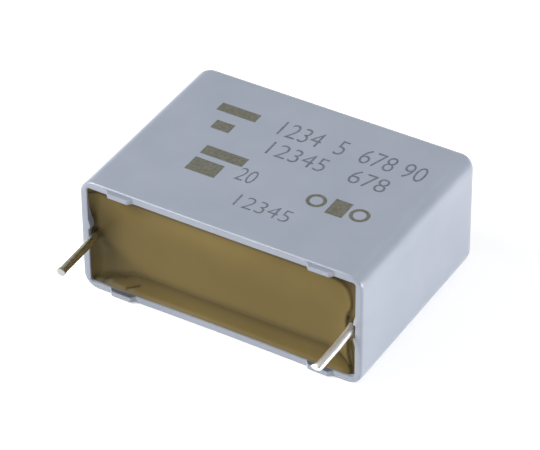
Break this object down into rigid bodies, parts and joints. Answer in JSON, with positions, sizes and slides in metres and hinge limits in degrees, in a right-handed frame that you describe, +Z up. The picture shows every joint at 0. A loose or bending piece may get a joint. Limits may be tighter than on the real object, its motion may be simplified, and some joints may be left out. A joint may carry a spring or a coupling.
{
  "type": "box film capacitor",
  "caption": "Film capacitor in a moulded plastic box filled with resin, with straight wire leads in a line and small standoffs round its open side.",
  "frame": {"origin": "midway between the two leads' centre lines, in the plane of the standoffs' tips, which is the face of the board it is soldered to", "axes": "+X along the row of leads, +Y from the board into the case so that the leads point towards -Y, +Z up through the thickness as the part lies on its large side"},
  "size_m": [0.0306, 0.0289, 0.0126],
  "materials": {
    "case_plastic": "satin moulded polyester, pale blue-grey",
    "resin": "glossy cast epoxy, olive tan",
    "metallised_film": "wound metallised polyester film",
    "sprayed_zinc": "rough sprayed zinc, matt grey",
    "tinned_wire": "tinned copper wire, bright",
    "print": "dark grey marking"
  },
  "bodies": {
    "root": {"case": "case_plastic", "potting_resin": "resin", "film_winding": "metallised_film", "end_spray_left": "sprayed_zinc", "end_spray_right": "sprayed_zinc", "lead_left": "tinned_wire", "lead_right": "tinned_wire"}
  },
  "joints": []
}
